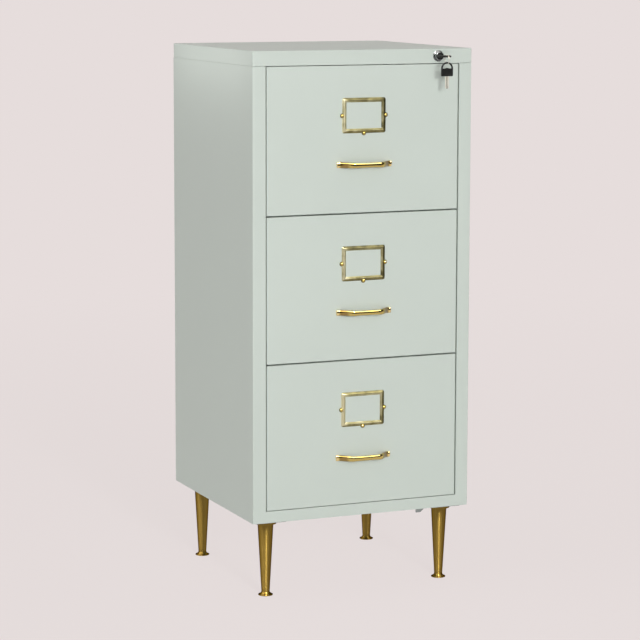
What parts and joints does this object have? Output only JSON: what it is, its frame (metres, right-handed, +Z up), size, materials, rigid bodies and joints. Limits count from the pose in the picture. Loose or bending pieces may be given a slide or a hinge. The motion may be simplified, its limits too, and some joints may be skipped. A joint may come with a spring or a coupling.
{
  "type": "filing cabinet",
  "caption": "Upright steel filing cabinet: deep drawers on telescopic slides with bow pulls and label frames, gang lock with hanging keys, tapered legs.",
  "frame": {"origin": "on the floor, under the centre of the whole object's box", "axes": "-Y is the front with the drawers, +X is the viewer's right, +Z is up"},
  "size_m": [0.45, 0.4794, 1.04],
  "materials": {
    "sage_paint": "satin powder coat",
    "inner_paint": "satin powder coat",
    "grey_paint": "matt",
    "zinc": "bright zinc plate",
    "nickel": "polished",
    "dark_chrome": "black nickel",
    "gold_plate": "polished",
    "gold_satin": "satin, spun on the lathe",
    "aged_brass": "worn, bevelled",
    "black_plastic": "moulded"
  },
  "bodies": {
    "cabinet": {"side_panel_left": "sage_paint", "side_panel_right": "sage_paint", "back_panel": "sage_paint", "top_cap": "sage_paint", "bottom_panel": "sage_paint", "bottom_rail": "sage_paint", "divider_rails": "sage_paint", "slide_uprights": "grey_paint", "slide_outers": "zinc", "legs": "gold_satin", "leg_plates": "grey_paint", "plate_screws": "zinc", "lock_barrel": "dark_chrome", "lock_nut": "zinc", "bar_guides": "zinc", "bottom_clip": "grey_paint"},
    "drawer_1": {"drawer_front_1": "sage_paint", "drawer_box_1": "inner_paint", "file_rails_1": "zinc", "pull_1": "gold_plate", "pull_screws_1": "zinc", "label_holder_1": "aged_brass", "label_pins_1": "gold_plate", "slide_inners_1": "zinc", "lock_catch_1": "zinc"},
    "drawer_2": {"drawer_front_2": "sage_paint", "drawer_box_2": "inner_paint", "file_rails_2": "zinc", "pull_2": "gold_plate", "pull_screws_2": "zinc", "label_holder_2": "aged_brass", "label_pins_2": "gold_plate", "slide_inners_2": "zinc", "lock_catch_2": "zinc"},
    "drawer_3": {"drawer_front_3": "sage_paint", "drawer_box_3": "inner_paint", "file_rails_3": "zinc", "pull_3": "gold_plate", "pull_screws_3": "zinc", "label_holder_3": "aged_brass", "label_pins_3": "gold_plate", "slide_inners_3": "zinc", "lock_catch_3": "zinc"},
    "slide_mid_1": {"slide_mids_1": "zinc"},
    "slide_mid_2": {"slide_mids_2": "zinc"},
    "slide_mid_3": {"slide_mids_3": "zinc"},
    "plug": {"lock_plug": "dark_chrome", "lock_cam": "zinc"},
    "gang_bar": {"lock_bar": "zinc", "lock_hooks": "zinc"},
    "key": {"key_blade": "nickel", "key_bow": "black_plastic"},
    "ring": {"key_ring": "nickel"},
    "spare_key": {"spare_blade": "nickel", "spare_bow": "black_plastic"},
    "levelling_foot_fl": {"foot_fl": "gold_satin"},
    "levelling_foot_fr": {"foot_fr": "gold_satin"},
    "levelling_foot_bl": {"foot_bl": "gold_satin"},
    "levelling_foot_br": {"foot_br": "gold_satin"}
  },
  "joints": [
    {"name": "drawer_1_slide", "type": "slide", "parent": "cabinet", "child": "drawer_1", "axis": [0, -1, 0], "range_m": [0, 0.34]},
    {"name": "drawer_2_slide", "type": "slide", "parent": "cabinet", "child": "drawer_2", "axis": [0, -1, 0], "range_m": [0, 0.34]},
    {"name": "drawer_3_slide", "type": "slide", "parent": "cabinet", "child": "drawer_3", "axis": [0, -1, 0], "range_m": [0, 0.34]},
    {"name": "slide_mid_1_slide", "type": "slide", "parent": "cabinet", "child": "slide_mid_1", "axis": [0, -1, 0], "range_m": [0, 0.17]},
    {"name": "slide_mid_2_slide", "type": "slide", "parent": "cabinet", "child": "slide_mid_2", "axis": [0, -1, 0], "range_m": [0, 0.17]},
    {"name": "slide_mid_3_slide", "type": "slide", "parent": "cabinet", "child": "slide_mid_3", "axis": [0, -1, 0], "range_m": [0, 0.17]},
    {"name": "plug_turn", "type": "hinge", "parent": "cabinet", "child": "plug", "pos_m": [0.154, -0.19025, 1.026], "axis": [0, 1, 0], "range_deg": [0, 90]},
    {"name": "gang_bar_slide", "type": "slide", "parent": "cabinet", "child": "gang_bar", "axis": [0, 0, -1], "range_m": [0, 0.01556]},
    {"name": "key_pull_out", "type": "slide", "parent": "plug", "child": "key", "axis": [0, -1, 0], "range_m": [0, 0.018]},
    {"name": "ring_swing", "type": "hinge", "parent": "key", "child": "ring", "pos_m": [0.1535, -0.23025, 1.026], "axis": [-1, 0, 0], "range_deg": [-10, 100]},
    {"name": "spare_key_swing", "type": "hinge", "parent": "ring", "child": "spare_key", "pos_m": [0.1535, -0.23025, 1.01175], "axis": [0, 1, 0], "range_deg": [-75, 75]},
    {"name": "foot_fl_level", "type": "slide", "parent": "cabinet", "child": "levelling_foot_fl", "axis": [0, 0, -1], "range_m": [0, 0.008]},
    {"name": "foot_fr_level", "type": "slide", "parent": "cabinet", "child": "levelling_foot_fr", "axis": [0, 0, -1], "range_m": [0, 0.008]},
    {"name": "foot_bl_level", "type": "slide", "parent": "cabinet", "child": "levelling_foot_bl", "axis": [0, 0, -1], "range_m": [0, 0.008]},
    {"name": "foot_br_level", "type": "slide", "parent": "cabinet", "child": "levelling_foot_br", "axis": [0, 0, -1], "range_m": [0, 0.008]}
  ],
  "couplings": [
    {"joint": "slide_mid_1_slide", "follows": "drawer_1_slide", "ratio": 0.5},
    {"joint": "slide_mid_2_slide", "follows": "drawer_2_slide", "ratio": 0.5},
    {"joint": "slide_mid_3_slide", "follows": "drawer_3_slide", "ratio": 0.5},
    {"joint": "plug_turn", "follows": "gang_bar_slide", "rad_per_m": 100.95}
  ]
}
